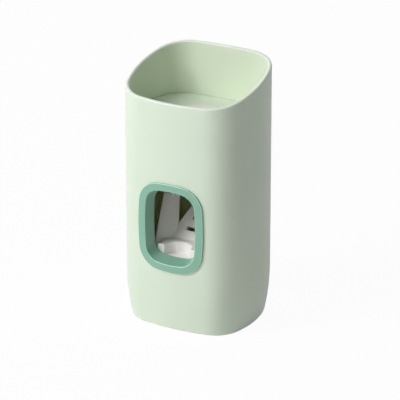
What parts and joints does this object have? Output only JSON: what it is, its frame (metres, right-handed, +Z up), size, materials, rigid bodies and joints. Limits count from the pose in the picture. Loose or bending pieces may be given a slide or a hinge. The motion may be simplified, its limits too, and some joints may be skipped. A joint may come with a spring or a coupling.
{
  "type": "toothpaste dispenser",
  "caption": "Tall round-cornered cup with a sloped open rim and a framed front window; a brush pushed into the window swings a lever that pumps paste from a tube standing in the cup.",
  "frame": {"origin": "middle of the flat base, at the surface that the casing stands on", "axes": "+Z up, the window in front faces -Y, the wall side faces +Y, +X to the right seen from the front"},
  "size_m": [0.0756, 0.0683, 0.1474],
  "materials": {
    "mint_plastic": "satin",
    "green_plastic": "satin",
    "white_plastic": "satin",
    "silicone": "matte",
    "steel": "satin",
    "adhesive_foam": "matte"
  },
  "bodies": {
    "casing": {"outer_shell": "mint_plastic", "window_bezel": "green_plastic"},
    "wall_bracket": {"wall_bracket": "mint_plastic", "adhesive_pad": "adhesive_foam"},
    "pump_core": {"tube_deck": "mint_plastic", "tube_socket": "white_plastic", "socket_nut": "white_plastic", "neck_grommet": "silicone", "inlet_valve": "silicone", "pump_bladder": "silicone", "bladder_clip_upper": "white_plastic", "bladder_clip_lower": "white_plastic", "nozzle": "white_plastic", "outlet_valve": "silicone", "pump_frame": "white_plastic", "frame_screws": "steel", "pivot_pin": "steel", "pin_clips": "steel", "return_spring_left": "steel", "return_spring_right": "steel"},
    "push_lever": {"push_lever": "white_plastic", "brush_cradle": "white_plastic"}
  },
  "joints": [
    {"name": "core_lift", "type": "slide", "parent": "casing", "child": "pump_core", "axis": [0, 0, 1], "range_m": [0, 0.115]},
    {"name": "lever_push", "type": "hinge", "parent": "pump_core", "child": "push_lever", "pos_m": [0, -0.019, 0.1045], "axis": [1, 0, 0], "range_deg": [0, 14], "stiffness_Nm_per_rad": 0.12, "springref_deg": -28.65, "deforming": ["pump_bladder", "return_spring_left", "return_spring_right"]},
    {"name": "bracket_slide", "type": "slide", "parent": "casing", "child": "wall_bracket", "axis": [0, 0, -1], "range_m": [0, 0.007]}
  ]
}
